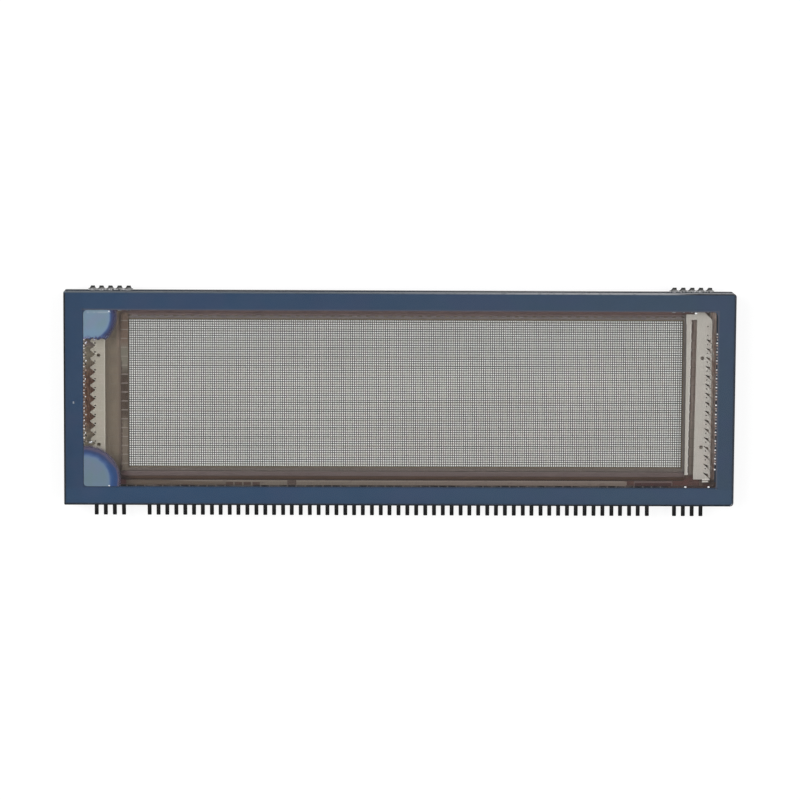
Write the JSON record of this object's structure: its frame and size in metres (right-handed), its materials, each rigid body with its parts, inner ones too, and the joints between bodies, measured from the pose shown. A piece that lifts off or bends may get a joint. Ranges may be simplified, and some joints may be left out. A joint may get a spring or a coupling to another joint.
{
  "type": "vacuum fluorescent display",
  "caption": "Flat graphic vacuum fluorescent display: a sealed glass envelope with a dot matrix, filament wires, getter mirrors and a row of flat leads along one edge.",
  "frame": {"origin": "centre of the rear pane's back face", "axes": "+X along the display, +Y towards its upper edge, +Z out of its face; the leads point along -Y"},
  "size_m": [0.1904, 0.0656, 0.0086],
  "materials": {
    "pane_glass": "clear float glass",
    "spacer_glass": "cut glass strip",
    "seal_frit": "fused blue-grey sealing glass",
    "insulation": "matt brown-grey printed layer",
    "paste": "matt dark conductive paste",
    "wiring_film": "thin film under insulation",
    "bar_film": "matt red-brown film",
    "phosphor": "matt pale powder",
    "grid_foil": "etched dark foil",
    "cover_sheet": "oxidised sheet",
    "silicon": "polished",
    "filament_wire": "oxide coated",
    "plate_metal": "satin sheet",
    "getter_metal": "satin sheet",
    "getter_alloy": "sintered",
    "mirror_film": "evaporated metal",
    "lead_metal": "dark oxidised alloy"
  },
  "bodies": {
    "root": {"rear_glass": "pane_glass", "front_glass": "pane_glass", "spacer_top": "spacer_glass", "spacer_bottom": "spacer_glass", "spacer_left": "spacer_glass", "spacer_right": "spacer_glass", "exhaust_lid": "spacer_glass", "exhaust_seal": "seal_frit", "rear_frit": "seal_frit", "front_frit": "seal_frit", "insulation_layer": "insulation", "contact_pads": "paste", "lead_wiring": "wiring_film", "bar_field": "bar_film", "phosphor_matrix": "phosphor", "control_grid": "grid_foil", "die_cover": "cover_sheet", "driver_dies": "silicon", "filaments": "filament_wire", "filament_anchor": "plate_metal", "filament_spring_frame": "plate_metal", "getter_upper": "getter_metal", "getter_lower": "getter_metal", "getter_fill_upper": "getter_alloy", "getter_fill_lower": "getter_alloy", "getter_mirror_upper": "mirror_film", "getter_mirror_lower": "mirror_film", "leads_main": "lead_metal", "leads_left": "lead_metal", "leads_right": "lead_metal", "stubs_left": "lead_metal", "stubs_right": "lead_metal"}
  },
  "joints": []
}
